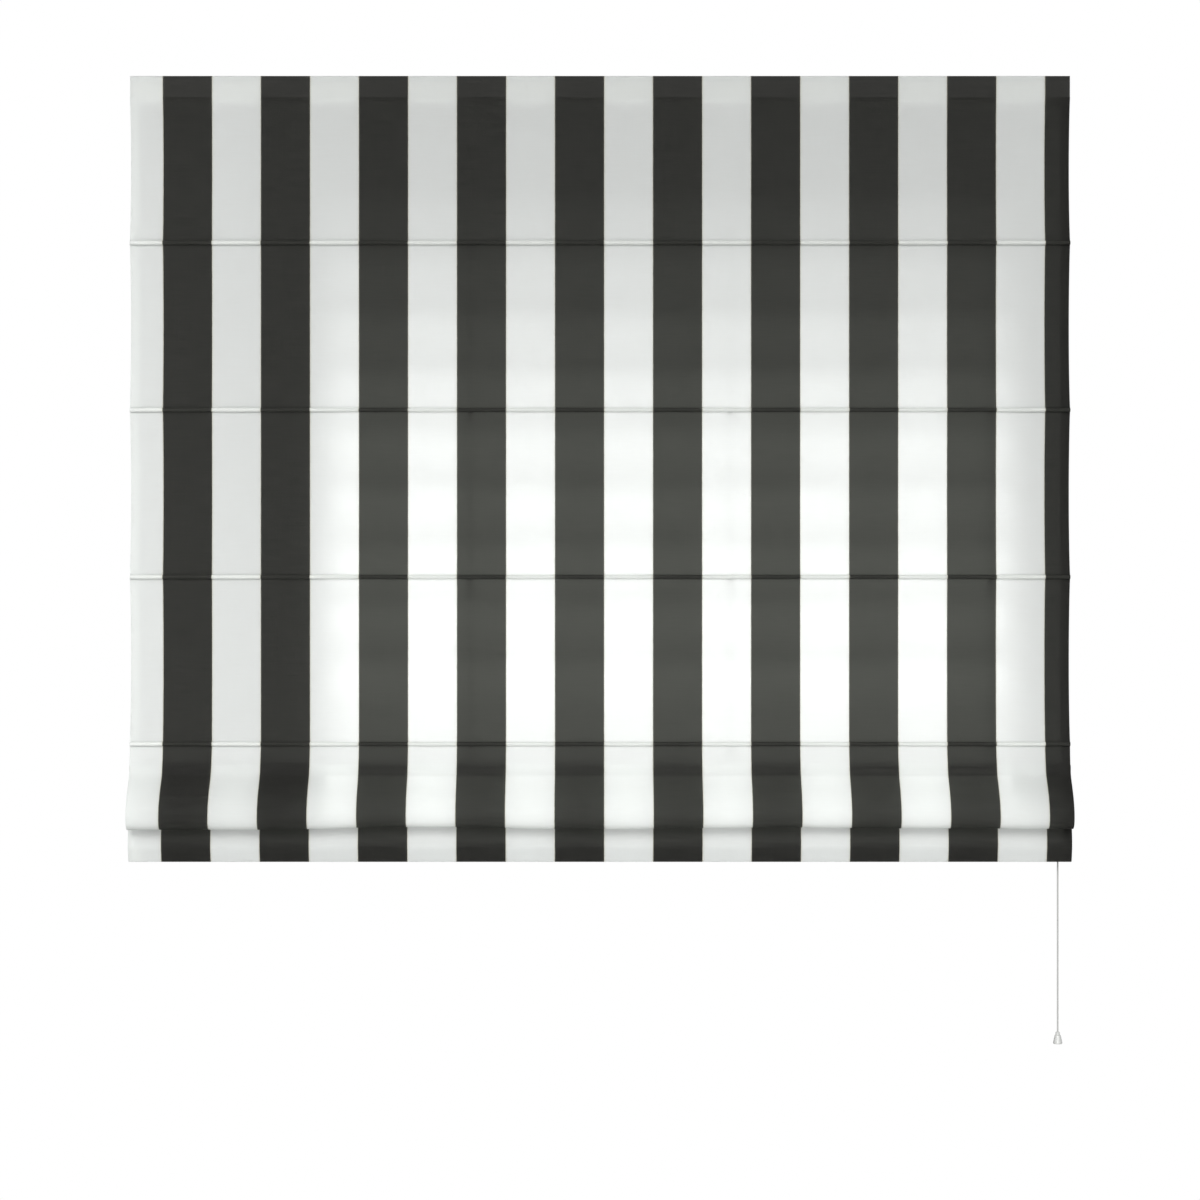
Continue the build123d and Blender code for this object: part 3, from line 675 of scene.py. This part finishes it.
# ================================================================ floor, light and camera
FLOOR_WIDE = 7.0                  # ends below the front view, so that the background stays white
FLOOR_Z = -2.3
bpy.ops.object.select_all(action="DESELECT")
bpy.ops.mesh.primitive_plane_add(size=FLOOR_WIDE, location=(0, 0, FLOOR_Z))
floor = bpy.context.object
floor.name = "floor"
dress(floor, grainy("matt_white_studio_floor", "#F4F4F3", "#F6F6F5", 3.0, 0.02, 0.9))

world = bpy.data.worlds.new("studio")
bpy.context.scene.world = world
world.use_nodes = True
sky = world.node_tree
sky.nodes.clear()
seen = add(sky, "ShaderNodeLightPath")
# the backdrop is pure white to the eye; the room in front and the ceiling fill the shadows, and the
# wall side is dim
way = add(sky, "ShaderNodeTexCoord")
sides = add(sky, "ShaderNodeSeparateXYZ", {0: way.outputs["Generated"]})
room = add(sky, "ShaderNodeMapRange", {0: sides.outputs[1], 1: -0.2, 2: 0.2, 3: 0.28, 4: 0.03})
ceiling = add(sky, "ShaderNodeMapRange", {0: sides.outputs[2], 1: 0.4, 2: 0.8, 3: 0.0, 4: 0.36})
fill = add(sky, "ShaderNodeMath", {0: room.outputs[0], 1: ceiling.outputs[0]}, operation="MAXIMUM")
strength = add(sky, "ShaderNodeMapRange",
               {0: seen.outputs["Is Camera Ray"], 3: fill.outputs[0], 4: 1.0})
backdrop = add(sky, "ShaderNodeBackground", {0: (1, 1, 1, 1), 1: strength.outputs[0]})
add(sky, "ShaderNodeOutputWorld", {0: backdrop.outputs[0]})
bpy.context.scene.view_settings.view_transform = "Standard"


def lamp(name, kind, strength, place, aim, **settings):
    """A studio light at a place, turned towards a point, that the camera doesn't see."""
    light = bpy.data.lights.new(name, kind)
    light.energy = strength
    for field, value in settings.items():
        setattr(light, field, value)
    made = bpy.data.objects.new(name, light)
    made.location = place
    made.rotation_euler = (Vector(aim) - Vector(place)).to_track_quat("-Z", "Y").to_euler()
    made.visible_camera = False
    bpy.context.collection.objects.link(made)
    return made


lamp("key_light", "SUN", 2.36, (-0.2, -4, 1.6), (0, 0, -0.5), angle=radians(30))
lamp("low_light", "AREA", 6.5, (0.15, -1.15, -1.2), (0.15, 0, -1.0), shape="RECTANGLE",
     size=1.6, size_y=0.35)
lamp("side_light", "AREA", 1.7, (-0.95, -0.32, -0.5), (-0.55, 0, -0.5), shape="RECTANGLE",
     size=0.2, size_y=1.2)

# daylight from a window pane behind the cloth: strips turned down as skylight falls, fading in
# below the window's head
DAY_X = 0.0955                    # middle of the pane
DAY_WIDE = 0.946
DAY_TOP = -0.16                   # middle of the highest strip
DAY_FADE = (0.17, 0.34, 0.55, 0.78, 0.91, 0.97, 1.0, 1.0, 1.0, 0.5)
DAY_POWER = 2.65                  # watts for each square metre of pane
STRIP = 0.08                      # height of one strip
for part, share in enumerate(DAY_FADE):
    height = DAY_TOP - STRIP * part
    lamp(f"day_light_{part}", "AREA", DAY_POWER * share * DAY_WIDE * STRIP, (DAY_X, 0.03, height),
         (DAY_X, -0.03, height - 0.05), shape="RECTANGLE", size=DAY_WIDE, size_y=STRIP,
         spread=radians(75))

# daylight caught between the front and back of the gathered fold: (name, watts, forward of the
# face, below rod 4, height)
for name, watts, forward, below, tall in (("day_in_fold", 0.090, 24.4 * MM, 73 * MM, 62 * MM),
                                          ("day_at_fold_top", 0.009, 9.5 * MM, 36.5 * MM, 14 * MM)):
    inside = Vector((DAY_X, FACE_Y - forward, ROD_Z[3] - below))
    lamp(name, "AREA", watts, inside, inside + Vector((0, -60 * MM, 23 * MM)), shape="RECTANGLE",
         size=DAY_WIDE, size_y=tall)
lamp("day_glow", "AREA", 0.15, (0, 0.25, -0.65), (0, 0, -0.65), shape="RECTANGLE",
     size=1.5, size_y=0.9)

# a fill on the wall side that reaches the hardware and not the cloth
hardware = bpy.data.collections.new("hardware")
for part_object in (*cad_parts.values(), rail_cords, tails, last_runs):
    hardware.objects.link(part_object)
back_fill = lamp("back_fill", "SUN", 1.5, (0.6, 3, 2.2), (0, 0, -0.3), angle=radians(40))
back_fill.light_linking.receiver_collection = hardware

AWAY = 4.0                        # camera's distance from the cloth's face
SEEN_WIDE = 1.660                 # width that the view takes in at that distance
LOOK_DOWN = 0.7245                # camera's height below the top of the cloth
camera_data = bpy.data.cameras.new("camera")
camera_data.sensor_width = 36
camera_data.lens = 36 * AWAY / SEEN_WIDE
camera_data.clip_start = 0.05
camera_data.clip_end = 100
camera = bpy.data.objects.new("camera", camera_data)
camera.location = (0, FACE_Y - AWAY, TOP - LOOK_DOWN)
camera.rotation_euler = (radians(90), 0, 0)
bpy.context.collection.objects.link(camera)
bpy.context.scene.camera = camera
